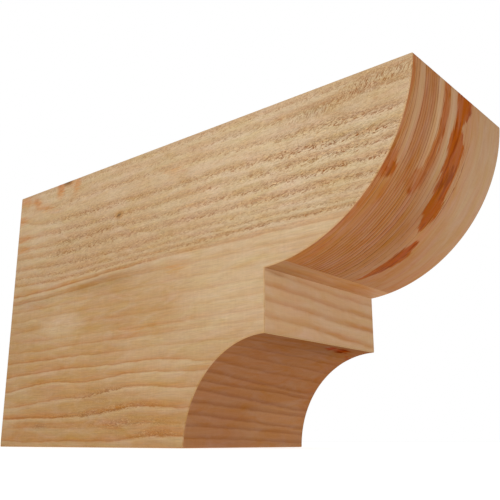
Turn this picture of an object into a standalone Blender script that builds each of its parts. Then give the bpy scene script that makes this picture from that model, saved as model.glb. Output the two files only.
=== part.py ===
"""Rafter tail: a sawn 6 x 10 in timber whose end is cut to a rounded nose, a fillet and a cove.

The origin is at the middle of the underside's length and width. +X runs along the timber, from the
back where it joins the building to the tip of the nose. Y runs across it and +Z is up.
"""

import math

import bmesh
import bpy
from mathutils import Vector

INCH = 0.0254

# The block that the tail is cut from.
BLOCK_LENGTH = 18.0 * INCH
BLOCK_WIDTH = 6.0 * INCH
BLOCK_HEIGHT = 10.0 * INCH

# The profile at the free end, from the bottom up.
COVE_RADIUS = 3.125 * INCH
FILLET_HEIGHT = 1.875 * INCH
NOSE_REACH = 5.0 * INCH
NOSE_SWEEP = math.radians(82.0)

# The arrises that a hand would touch are eased with a light pass of the plane.
ARRIS_EASE = 0.8e-3

COVE_STEPS = 30
NOSE_STEPS = 40
EASE_STEPS = 2

BACK_X = -BLOCK_LENGTH / 2.0
TIP_X = BLOCK_LENGTH / 2.0
FILLET_X = TIP_X - NOSE_REACH
FILLET_TOP = COVE_RADIUS + FILLET_HEIGHT
NOSE_RISE = BLOCK_HEIGHT - FILLET_TOP

SHARP_ANGLE = math.radians(30.0)
TIMBER_COLOUR = (0.60, 0.42, 0.24, 1.0)
TIMBER_ROUGHNESS = 0.72


def clear_scene():
    for obj in list(bpy.data.objects):
        bpy.data.objects.remove(obj, do_unlink=True)


def timber_material():
    """Unfinished softwood: a warm tan with a dull surface."""
    material = bpy.data.materials.new("sawn_softwood")
    material.use_nodes = True
    shader = material.node_tree.nodes["Principled BSDF"]
    shader.inputs["Base Color"].default_value = TIMBER_COLOUR
    shader.inputs["Roughness"].default_value = TIMBER_ROUGHNESS
    shader.inputs["Metallic"].default_value = 0.0
    return material


def cove_points():
    """A quarter circle about the point below the fillet, from the underside up to the fillet's foot."""
    for step in range(COVE_STEPS + 1):
        turn = math.pi - 0.5 * math.pi * step / COVE_STEPS
        yield FILLET_X + COVE_RADIUS * math.cos(turn), COVE_RADIUS * math.sin(turn)


def nose_points():
    """The arc from the fillet's top edge to the tip.

    The arc is drawn in a unit square and stretched to the nose's reach and rise. It is a true circle
    when they are equal, and it never dips below its foot or swells past its tip.
    """
    half = NOSE_SWEEP / 2.0
    radius = math.sqrt(0.5) / math.sin(half)
    back_off = math.sqrt(0.5) * radius * math.cos(half)
    for step in range(NOSE_STEPS + 1):
        turn = -math.pi / 4.0 - half + NOSE_SWEEP * step / NOSE_STEPS
        along = 0.5 - back_off + radius * math.cos(turn)
        up = 0.5 + back_off + radius * math.sin(turn)
        yield FILLET_X + NOSE_REACH * along, FILLET_TOP + NOSE_RISE * up


def profile():
    """The outline of the timber's side, anticlockwise seen from -Y, starting at the bottom of the back."""
    return [(BACK_X, 0.0), *cove_points(), *nose_points(), (BACK_X, BLOCK_HEIGHT)]


def ease_arrises(mesh):
    """Rounds the outward edges, and leaves the two inner corners of the step as the saw left them."""
    outward = [
        edge
        for edge in mesh.edges
        if edge.is_convex and edge.calc_face_angle() > SHARP_ANGLE
    ]
    bmesh.ops.bevel(
        mesh,
        geom=outward,
        offset=ARRIS_EASE,
        offset_type="OFFSET",
        segments=EASE_STEPS,
        profile=0.5,
        affect="EDGES",
        material=-1,
        clamp_overlap=True,
    )


def rafter_tail():
    mesh = bmesh.new()
    near_side = -BLOCK_WIDTH / 2.0
    outline = [mesh.verts.new((x, near_side, z)) for x, z in profile()]
    side = mesh.faces.new(outline)
    extruded = bmesh.ops.extrude_face_region(mesh, geom=[side])
    far_side = [item for item in extruded["geom"] if isinstance(item, bmesh.types.BMVert)]
    bmesh.ops.translate(mesh, verts=far_side, vec=Vector((0.0, BLOCK_WIDTH, 0.0)))
    bmesh.ops.recalc_face_normals(mesh, faces=mesh.faces)
    ease_arrises(mesh)

    data = bpy.data.meshes.new("rafter_tail")
    mesh.to_mesh(data)
    mesh.free()
    data.materials.append(timber_material())
    data.shade_smooth()
    data.set_sharp_from_angle(angle=SHARP_ANGLE)
    tail = bpy.data.objects.new("rafter_tail", data)
    bpy.context.scene.collection.objects.link(tail)
    return tail


clear_scene()
rafter_tail()
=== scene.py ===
"""Rafter tail: a sawn 6 x 10 in fir timber whose free end is cut to a nose, a fillet and a cove.

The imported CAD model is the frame. One dense mesh stands for its single solid. It has the same outline
and sizes, with the relief that a saw leaves, and each cut face has the figure and finish of its own.
Sizes in the figures are in inches, as timber is sold, and become metres in one place.
"""

import logging
import math
from dataclasses import dataclass, field, replace
from enum import Enum
from functools import partial

import bmesh
import bpy
import numpy as np
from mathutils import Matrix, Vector

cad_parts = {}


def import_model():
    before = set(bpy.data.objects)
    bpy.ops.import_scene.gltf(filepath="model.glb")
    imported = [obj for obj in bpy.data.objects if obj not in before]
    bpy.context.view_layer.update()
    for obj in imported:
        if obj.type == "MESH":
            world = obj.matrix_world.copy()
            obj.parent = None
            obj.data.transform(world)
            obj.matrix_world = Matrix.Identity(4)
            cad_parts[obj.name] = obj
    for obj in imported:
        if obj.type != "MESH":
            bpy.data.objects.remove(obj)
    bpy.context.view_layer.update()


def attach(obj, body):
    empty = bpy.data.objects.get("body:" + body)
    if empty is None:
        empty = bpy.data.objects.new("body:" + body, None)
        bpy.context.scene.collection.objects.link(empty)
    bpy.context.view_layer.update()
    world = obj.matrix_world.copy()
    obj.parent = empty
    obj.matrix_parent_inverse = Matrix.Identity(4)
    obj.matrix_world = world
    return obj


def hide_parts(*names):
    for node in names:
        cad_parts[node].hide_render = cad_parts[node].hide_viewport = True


INCH = 0.0254
MM = 0.001
GRAIN_MAP = "grain"
# The cut faces lie this far apart on the grain map, in metres, so that no two share a piece of noise.
FACE_SPACING = 0.7
# Offsets along the grain, in inches, over which a growth line's corners are rounded.
ROUNDING = (-0.6, -0.4, -0.2, 0.0, 0.2, 0.4, 0.6)
# The least breadth of a ring, and how far past the outer lines the figure fades out, in inches.
LEAST_RING = 0.02
OUTER_RING = 0.5
# The share of its strength that an outer line keeps there.
OUTER_STRENGTH = 0.3
# The fewest and most late-wood breadths that a ring counts as.
FINENESS_SPAN = (0.5, 12.0)
# The resin's edge is told no farther off than this, in inches.
RESIN_SPAN = 0.5
# A patch is full inside the first share of its reach and gone past the second.
SOFT_RIM = (0.2, 1.2)
# Torn grain starts this far under its border and is full this far over it, in inches, up to a cap.
TORN_RIM = (-0.12, 0.25)
MOST_TORN = 1.3
# Torn late wood reads a quarter fainter than clean late wood.
TORN_STRENGTH = 0.75
# A face is flat along an axis where its normal points this far along it.
FLATNESS = 0.99
# How far a small face's centre may stand off the flat or the arc that it belongs to, in metres.
OFF_FLAT = 0.10 * MM
OFF_ARC = 0.15 * MM
# Folds sharper than the first are arrises to ease, and sharper than the second are shaded sharp.
ARRIS_ANGLE = math.radians(30)
SHARP_ANGLE = math.radians(28)
MERGE_DISTANCE = 1e-6

log = logging.getLogger("rafter_tail")


class Face(Enum):
    """The cut faces of the timber, each with its own figure and finish."""

    NEAR_SIDE = 0
    FAR_SIDE = 1
    TOP = 2
    UNDERSIDE = 3
    BACK = 4
    NOSE = 5
    NOSE_FOOT = 6
    FILLET = 7
    COVE = 8
    ARRIS = 9


class Mark(Enum):
    """What a patch on a face changes there."""

    RESIN = "resin"
    TORN = "torn"
    RAISED = "raised"
    TONE = "tone"
    WARMTH = "warmth"


def linear(hex_colour: str) -> tuple[float, float, float, float]:
    """Turn an sRGB hex colour to a linear one for a shader.

    Args:
        hex_colour: six hex digits after a hash, such as "#c8a27a".

    Returns:
        Linear red, green and blue, and an alpha of one.
    """
    parts = [int(hex_colour[i : i + 2], 16) / 255.0 for i in (1, 3, 5)]
    r, g, b = (c / 12.92 if c <= 0.04045 else ((c + 0.055) / 1.055) ** 2.4 for c in parts)
    return r, g, b, 1.0


def add_node(
    tree: bpy.types.NodeTree, kind: str, inputs: dict | None = None, **settings: object
) -> bpy.types.Node:
    """Add one node with its settings and links.

    Args:
        tree: the material's or world's nodes.
        kind: the node's type name.
        inputs: what goes in each input, by name or number. An output socket is linked, a node gives
            its first output, and anything else is set as the input's value.
        **settings: the node's own properties.

    Returns:
        The new node.
    """
    node = tree.nodes.new(kind)
    for name, value in settings.items():
        setattr(node, name, value)
    for key, value in (inputs or {}).items():
        if isinstance(value, bpy.types.Node):
            value = value.outputs[0]
        if isinstance(value, bpy.types.NodeSocket):
            tree.links.new(value, node.inputs[key])
        else:
            node.inputs[key].default_value = value
    return node


def smoothstep(low: float, high: float, value: np.ndarray) -> np.ndarray:
    """Ease from 0 at low to 1 at high.

    Args:
        low: where the step starts.
        high: where it ends.
        value: the numbers to step.

    Returns:
        The eased numbers.
    """
    t = np.clip((value - low) / (high - low), 0.0, 1.0)
    return t * t * (3.0 - 2.0 * t)


def wander(u: np.ndarray, v: np.ndarray, cell_u: float, cell_v: float, seed: int) -> np.ndarray:
    """Smooth seeded noise between -1 and 1, on cells of the given size.

    Args:
        u: place along the grain.
        v: place across the grain.
        cell_u: the cell's length along the grain.
        cell_v: the cell's length across the grain.
        seed: the seed of the draws.

    Returns:
        One number for each place.
    """
    size = 64
    table = np.random.default_rng(seed).uniform(-1.0, 1.0, (size, size))
    a, b = u / cell_u, v / cell_v
    i, j = np.floor(a).astype(int), np.floor(b).astype(int)
    fa, fb = smoothstep(0.0, 1.0, a - i), smoothstep(0.0, 1.0, b - j)
    i, j, next_i, next_j = i % size, j % size, (i + 1) % size, (j + 1) % size
    low = table[i, j] * (1 - fa) + table[next_i, j] * fa
    high = table[i, next_j] * (1 - fa) + table[next_i, next_j] * fa
    return low * (1 - fb) + high * fb


@dataclass(frozen=True)
class GrowthLine:
    """The dark late wood of one growth ring, where it crosses a face.

    Each point is (along, across, strength). Places and the breadth are in inches, and a strength of
    one is plain late wood.
    """

    points: tuple[tuple[float, float, float], ...]
    breadth: float


@dataclass(frozen=True)
class Streak:
    """A resin-soaked streak. Each point is (along, centre across, half breadth), in inches."""

    points: tuple[tuple[float, float, float], ...]
    depth: float = 1.0

    def inside(self, u: np.ndarray, v: np.ndarray) -> np.ndarray:
        """Depth of each place inside the streak, in inches, and negative outside it."""
        along, centre, half = np.array(self.points, float).T
        return np.interp(u, along, half) - np.abs(v - np.interp(u, along, centre))


@dataclass(frozen=True)
class Patch:
    """A soft-edged oval patch, in inches, turned by some degrees from the grain."""

    along: float
    across: float
    reach: float
    spread: float
    amount: float
    turn: float = 0.0

    def distance(self, u: np.ndarray, v: np.ndarray) -> np.ndarray:
        """Tell how far out each place lies.

        Args:
            u: places along the grain, in inches.
            v: places across it, in inches.

        Returns:
            Distances that are 0 at the patch's middle and 1 at its rim.
        """
        cos, sin = math.cos(math.radians(self.turn)), math.sin(math.radians(self.turn))
        du, dv = u - self.along, v - self.across
        return np.hypot((du * cos + dv * sin) / self.reach, (dv * cos - du * sin) / self.spread)


@dataclass(frozen=True)
class Figure:
    """The figure of one face: its growth lines, streaks and patches.

    The lines run from low to high across the face. A patch is given as a row of Patch's own fields.
    The slopes are the change in tone and in warmth for each inch along and across, about the middle.
    """

    lines: tuple[GrowthLine, ...]
    streaks: tuple[Streak, ...] = ()
    patches: dict[Mark, tuple[tuple[float, ...], ...]] = field(default_factory=dict)
    torn: float = 0.0
    torn_from: tuple[tuple[float, float], ...] = ()
    middle: tuple[float, float] = (0.0, 0.0)
    tone: float = 0.0
    tone_slope: tuple[float, float] = (0.0, 0.0)
    warmth: float = 0.5
    warmth_slope: tuple[float, float] = (0.0, 0.0)
    drift: float = 0.03
    outward: float = 1.0
    seed: int = 1

    def rings(self, u: np.ndarray, v: np.ndarray) -> tuple[np.ndarray, np.ndarray, np.ndarray]:
        """Count the growth rings from the first line.

        Args:
            u: places along the grain, in inches.
            v: places across it, in inches.

        Returns:
            The ring count, whole on each line, the late wood's strength, and how many of its
            breadths fit in a ring, which is negative where rings grow towards the low side.
        """
        waves = wander(u, v, 2.2, 0.9, self.seed) + 0.5 * wander(u, v, 0.7, 0.5, self.seed + 1)
        v = v + self.drift * waves
        heights, strengths = [], []
        for line in self.lines:
            along, across, strength = np.array(line.points, float).T
            heights.append(np.mean([np.interp(u + d, along, across) for d in ROUNDING], axis=0))
            strengths.append(np.interp(u, along, strength))
        heights = np.maximum.accumulate(heights, axis=0)
        heights = np.vstack([heights[:1] - OUTER_RING, heights, heights[-1:] + OUTER_RING])
        first, last = strengths[0] * OUTER_STRENGTH, strengths[-1] * OUTER_STRENGTH
        strengths = np.vstack([first, *strengths, last])
        breadths = np.array([line.breadth for line in (self.lines[0], *self.lines, self.lines[-1])])
        below = np.clip((heights < v).sum(axis=0) - 1, 0, len(heights) - 2)
        place = np.arange(len(v))
        low, high = heights[below, place], heights[below + 1, place]
        gap = np.maximum(high - low, LEAST_RING)
        part = np.clip((v - low) / gap, 0.0, 1.0)
        strength = strengths[below, place] * (1 - part) + strengths[below + 1, place] * part
        breadth = breadths[below] * (1 - part) + breadths[below + 1] * part
        return below + part, strength, self.outward * np.clip(gap / breadth, *FINENESS_SPAN)

    def marks(self, u: np.ndarray, v: np.ndarray) -> dict[str, np.ndarray]:
        """Lay the streaks and patches.

        Args:
            u: places along the grain, in inches.
            v: places across it, in inches.

        Returns:
            The resin's edge distance and depth, and the torn grain, raised grain, tone and warmth.
        """
        resin = [(streak.inside(u, v), streak.depth) for streak in self.streaks]
        soft = {mark: np.zeros(len(u)) for mark in Mark}
        for mark, rows in self.patches.items():
            for patch in (Patch(*row) for row in rows):
                far = patch.distance(u, v)
                if mark is Mark.RESIN:
                    resin.append(((1.0 - far) * min(patch.reach, patch.spread), patch.amount))
                else:
                    soft[mark] += patch.amount * (1.0 - smoothstep(*SOFT_RIM, far))
        edge, depth = np.full(len(u), -RESIN_SPAN), np.zeros(len(u))
        for inside, amount in resin:
            depth = np.where(inside > edge, amount, depth)
            edge = np.maximum(edge, inside)
        torn = np.full(len(u), self.torn)
        if self.torn_from:
            along, across = np.array(self.torn_from, float).T
            torn *= smoothstep(*TORN_RIM, v - np.interp(u, along, across))
        du, dv = u - self.middle[0], v - self.middle[1]
        warmth = self.warmth + soft[Mark.WARMTH] + du * self.warmth_slope[0] + dv * self.warmth_slope[1]
        return {
            "resin_edge": np.clip(edge, -RESIN_SPAN, RESIN_SPAN),
            "resin_depth": depth,
            "torn_grain": np.clip(torn + soft[Mark.TORN], 0.0, MOST_TORN),
            "raised_grain": np.clip(soft[Mark.RAISED], 0.0, 1.0),
            "tone": self.tone + soft[Mark.TONE] + du * self.tone_slope[0] + dv * self.tone_slope[1],
            "warmth": np.clip(warmth, 0.0, 1.0),
        }

    def fields(self, u: np.ndarray, v: np.ndarray) -> dict[str, np.ndarray]:
        """Work out every attribute that the finishes read.

        Args:
            u: places along the grain, in inches.
            v: places across it, in inches.

        Returns:
            The fields named in FIELDS, one number for each place.
        """
        return dict(zip(FIELDS, (*self.rings(u, v), *self.marks(u, v).values())))


# What a figure gives the finishes at each place, as rings and marks return it.
FIELDS = (
    "ring_count", "ring_strength", "ring_fineness", "resin_edge", "resin_depth", "torn_grain",
    "raised_grain", "tone", "warmth",
)


def run(*points: float, breadth: float = 0.2, depth: float = 1.0) -> GrowthLine:
    """Make a growth line from a flat run of along, across and strength.

    Args:
        *points: along, across and strength, again and again.
        breadth: the late wood's breadth in inches.
        depth: what each strength is multiplied by.

    Returns:
        The line.
    """
    strengths = [depth * strength for strength in points[2::3]]
    return GrowthLine(tuple(zip(points[0::3], points[1::3], strengths)), breadth)


# The near side, along from the back and up from the underside. The rings are broad and torn in the
# upper part, faint in the middle, and thin and dark below, where they arch up towards the cove.
torn_run = partial(run, depth=TORN_STRENGTH)
SIDE_LINES = (
    run(0, 0.2, 0.6, 6.5, 0.2, 0.7, 8.5, 0.38, 1.3, 10, 0.33, 1.1, breadth=0.26),
    run(0, 0.62, 0.1, 2, 0.7, 0.45, 3, 0.68, 0.4, 5, 0.6, 0.1, 7, 0.78, 0.45, 10, 0.7, 0.3),
    run(0, 1.02, 1.2, 3, 1, 1.3, 5, 1.02, 1.3, 6, 1.12, 1.3, 7, 1.25, 1.3, 8, 1.3, 1.1, 10, 1.15, 0.8,
        breadth=0.24),
    run(0, 1.42, 0.4, 2, 1.5, 0.6, 4, 1.7, 0.7, 5, 1.68, 0.7, 7, 1.92, 0.85, 8, 1.93, 0.85, 10, 1.75, 0.6),
    run(0, 2, 0.9, 1, 2.12, 0.85, 3, 2.3, 0.85, 5, 2.17, 0.7, 7, 2.35, 0.8, 8, 2.38, 0.8, 10, 2.25, 0.55),
    run(0, 2.5, 0.7, 1, 2.6, 0.8, 2.5, 2.7, 0.85, 5.5, 2.68, 0.7, 8.5, 2.75, 0.7, 10, 2.6, 0.6,
        11, 2.45, 0.5),
    run(0, 3.08, 0.7, 2, 3.12, 0.7, 5, 3.1, 0.6, 8, 3.15, 0.25, 12, 3.1, 0.15),
    run(0, 3.5, 0.25, 2.7, 3.5, 0.45, 6.5, 3.52, 0.45, 9, 3.55, 0.22, 18, 3.5, 0.12),
    run(0, 3.9, 0.2, 6.8, 3.8, 0.25, 7.5, 3.8, 0.6, 8.2, 3.8, 0.35, 12, 3.85, 0.18),
    run(0, 4.3, 0.2, 6, 4.32, 0.2, 13, 4.28, 0.2),
    run(0, 4.72, 0.25, 5, 4.75, 0.2, 13, 4.72, 0.18),
    run(0, 5.08, 0.32, 5, 5.14, 0.28, 9, 5.16, 0.22, 13, 5.14, 0.18),
    run(0, 5.42, 0.6, 4, 5.57, 0.5, 6, 5.62, 0.3, 9, 5.62, 0.22, 13, 5.6, 0.2),
    run(0, 5.72, 0.85, 2.5, 5.78, 0.95, 5, 5.92, 1.1, 7.5, 6, 0.85, 9, 6, 0.5, 18, 5.98, 0.35,
        breadth=0.22),
    run(0, 6.2, 0.5, 2.8, 6.06, 0.5, 4, 6.14, 0.5, 9, 6.22, 0.4, 13.6, 6.27, 0.7, 15, 6.27, 0.7,
        18, 6.24, 0.4),
    torn_run(0, 6.5, 0.6, 2.8, 6.32, 0.55, 5, 6.37, 0.5, 9, 6.44, 0.45, 14, 6.47, 0.5, 18, 6.42, 0.4,
             breadth=0.12),
    torn_run(0, 6.87, 0.7, 2.8, 6.66, 0.6, 5, 6.62, 0.55, 9, 6.68, 0.45, 12, 6.72, 0.3, 18, 6.7, 0.3,
             breadth=0.26),
    torn_run(0, 7.36, 0.65, 2.8, 7.12, 0.6, 5, 7.15, 0.6, 9, 7.12, 0.6, 13.7, 7.02, 0.75, 18, 6.96, 0.7,
             breadth=0.3),
    torn_run(0, 7.74, 0.7, 2.8, 7.47, 0.6, 4, 7.55, 0.65, 6, 7.55, 0.6, 9, 7.48, 0.55, 14, 7.45, 0.8,
             18, 7.42, 0.8, breadth=0.26),
    torn_run(0, 8.12, 0.6, 2.5, 8.02, 0.5, 5, 7.92, 0.55, 9, 7.92, 0.5, 14, 7.88, 0.6, 18, 7.85, 0.6,
             breadth=0.26),
    torn_run(0, 9, 0.5, 1.2, 8.6, 0.55, 2.3, 8.45, 0.6, 4, 8.45, 0.7, 9, 8.38, 0.65, 13, 8.3, 0.7,
             15.5, 8.22, 0.85, 18, 8.18, 0.8, breadth=0.32),
    torn_run(0, 9.4, 0.2, 2.5, 9.1, 0.3, 4, 9.2, 0.4, 9, 9.12, 0.4, 12, 8.95, 0.4, 15, 8.75, 0.55,
             18, 8.66, 0.5, breadth=0.3),
    torn_run(0, 9.66, 0.15, 9, 9.47, 0.25, 12, 9.45, 0.4, 18, 9.38, 0.45, breadth=0.32),
    torn_run(0, 9.9, 0.25, 4, 9.85, 0.4, 9, 9.84, 0.4, 18, 9.8, 0.4, breadth=0.27),
)
NEAR_SIDE = Figure(
    lines=SIDE_LINES,
    patches={
        Mark.RESIN: (
            (0.35, 9.76, 0.5, 0.22, 0.6, -8), (1.15, 9.55, 0.36, 0.17, 0.65, -35),
            (1.75, 9.25, 0.75, 0.12, 0.4, -20), (2.75, 9.75, 0.32, 0.24, 0.75, 80),
            (3.8, 9.72, 0.3, 0.2, 0.55, 75), (3.4, 9.9, 0.3, 0.12, 0.4), (0.2, 8.95, 0.35, 0.13, 0.55),
            (0.4, 8.16, 0.45, 0.12, 0.5), (0.35, 7.7, 0.4, 0.11, 0.5), (9.15, 8.95, 0.28, 0.11, 0.6, -10),
            (9.35, 5.55, 0.28, 0.08, 0.5), (7.6, 3.8, 0.42, 0.05, 0.4), (8.7, 0.58, 1.2, 0.26, 0.22),
            (6.6, 0.7, 0.6, 0.2, 0.22),
        ),
        Mark.TONE: (
            (3.2, 9.98, 0.34, 0.16, -0.55), (6.4, 7.95, 0.12, 0.11, -0.75), (6.4, 8, 0.35, 0.22, 0.1),
            (3.05, 4.45, 0.7, 0.24, 0.02), (4.05, 2.05, 0.85, 0.16, 0.08), (1.6, 2.9, 0.6, 0.14, 0.05),
            (2.5, 0.7, 0.7, 0.2, -0.09), (5.6, 5.64, 3.6, 0.36, -0.14, 2), (1.5, 5.45, 2, 0.26, -0.09),
            (6.2, 5.18, 3, 0.22, -0.04, 2), (12.2, 4.3, 2.4, 1.6, 0.02), (17, 9.6, 4.2, 1.6, -0.045),
            (12.5, 7.9, 4.5, 1.9, 0.035), (0.4, 6, 3, 5.5, -0.055), (0.6, 9.8, 1.2, 0.4, -0.04),
            (8.6, 1.8, 2, 1, 0.025), (6.4, 4.6, 3.4, 1.1, -0.02),
        ),
        Mark.WARMTH: (
            (3.2, 9.98, 0.4, 0.2, 0.8), (6.4, 7.95, 0.25, 0.2, 1), (5.6, 5.6, 2.8, 0.34, 0.3),
            (6.8, 4.4, 3.6, 1.2, 0.14), (3.4, 4.25, 1.6, 0.55, -0.3), (1.6, 7.6, 2.2, 1.9, -0.12),
            (13.6, 7.5, 5, 2.4, -0.24), (16.2, 9.5, 3.4, 1, 0.22), (11.8, 4.2, 2.8, 1.8, -0.25),
            (8.6, 2.4, 2.6, 1.4, -0.2), (1.6, 1.6, 2.4, 1.2, -0.12), (0.3, 0.9, 1.2, 0.9, -0.32),
            (6.8, 0.72, 1, 0.36, 0.35), (8.4, 0.62, 2.2, 0.5, 0.6),
        ),
        Mark.TORN: (
            (8.6, 0.62, 1.6, 0.42, 0.62), (6.8, 0.72, 0.8, 0.36, 0.75), (6.1, 1.75, 1.3, 0.4, 0.35),
            (6, 1.2, 3.4, 1, 0.45), (2.5, 0.7, 0.6, 0.2, 0.5), (1, 7.9, 1.5, 2.4, -0.6),
            (4.6, 7.4, 2.6, 1.4, 0.25), (15.2, 8.2, 2.8, 1.4, 0.3),
        ),
        Mark.RAISED: ((17, 9.62, 1.5, 0.32, 1.2, 2), (15, 9.3, 1.9, 0.3, 0.8, 3)),
    },
    torn=0.85,
    torn_from=((0, 6.1), (3, 5.95), (6, 5.95), (9, 6.0), (18, 6.05)),
    middle=(8.0, 5.0),
    tone_slope=(0.004, 0.009),
    warmth=0.68,
    warmth_slope=(-0.012, -0.085),
    seed=11,
)

# The far side has the same rings a little lower, as they dip across the width, and fewer marks.
FAR_SIDE = Figure(
    lines=tuple(
        replace(line, points=tuple((u, v - 0.22 - 0.012 * u, s) for u, v, s in line.points))
        for line in SIDE_LINES
    ),
    patches={
        Mark.RESIN: ((12.3, 8.6, 0.5, 0.08, 0.5, -4),),
        Mark.TONE: ((5, 4.2, 2.4, 0.5, 0.06), (11.2, 6.9, 0.09, 0.06, -0.5)),
        Mark.TORN: ((3, 1.2, 2.2, 0.6, 0.6),),
    },
    torn=0.7,
    torn_from=((0, 5.6), (6, 5.8), (18, 5.6)),
    middle=(8.0, 5.0),
    tone_slope=(0.002, 0.006),
    warmth_slope=(0.0, -0.07),
    drift=0.05,
    seed=23,
)


def flat_sawn(spacing: float, crown: float, breadth: float, seed: int) -> tuple[GrowthLine, ...]:
    """Draw the figure of a flat-sawn face, whose rings bow about a lazy crown.

    Args:
        spacing: the mean distance between rings, in inches.
        crown: how far the rings bow over the length, in inches.
        breadth: the late wood's breadth, in inches.
        seed: the seed of the draws.

    Returns:
        The lines, from low to high across a 6 in face and a little past its rims.
    """
    draw = np.random.default_rng(seed)
    lines, across = [], -0.3 - crown
    while across < 6.4 + crown:
        pull = (across - 3.0) / 3.0
        strength = draw.uniform(0.35, 0.85)
        points = [
            (u, across + crown * pull * math.sin(0.21 * u + 0.6) + draw.uniform(-0.03, 0.03), strength)
            for u in range(0, 19, 2)
        ]
        lines.append(GrowthLine(tuple(points), breadth))
        across += spacing * draw.uniform(0.7, 1.35)
    return tuple(lines)


TOP = Figure(
    lines=flat_sawn(0.50, 0.45, 0.22, 31),
    patches={
        Mark.TONE: ((3.1, 0.3, 0.3, 0.3, -0.35),),
        Mark.RESIN: ((2.8, 0.35, 0.45, 0.14, 0.7), (10.6, 3.9, 1.1, 0.06, 0.4, 2)),
    },
    torn=0.65,
    tone=0.05,
    drift=0.06,
    seed=37,
)
UNDERSIDE = Figure(
    lines=flat_sawn(0.30, 0.40, 0.11, 41),
    patches={Mark.TONE: ((5.5, 3.4, 2.6, 0.5, 0.06),)},
    torn=0.35,
    warmth=0.75,
    drift=0.06,
    seed=43,
)

# The back is cross-cut: the rings meet those of the near side and bow down across the width. Four more
# come down from over the top.
BACK_RINGS = (
    *((line.points[0][1], 0.35 + 0.5 * line.points[0][2]) for line in SIDE_LINES),
    (10.3, 0.6), (10.7, 0.6), (11.15, 0.7), (11.6, 0.6),
)
BACK = Figure(
    lines=tuple(
        GrowthLine(tuple((u, height + 0.04 - 0.045 * (u - 0.8) ** 2, strength) for u in range(7)), 0.17)
        for height, strength in BACK_RINGS
    ),
    patches={Mark.TONE: ((3.2, 5.2, 2.6, 3, 0.04),)},
    warmth=0.6,
    drift=0.04,
    seed=47,
)

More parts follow.
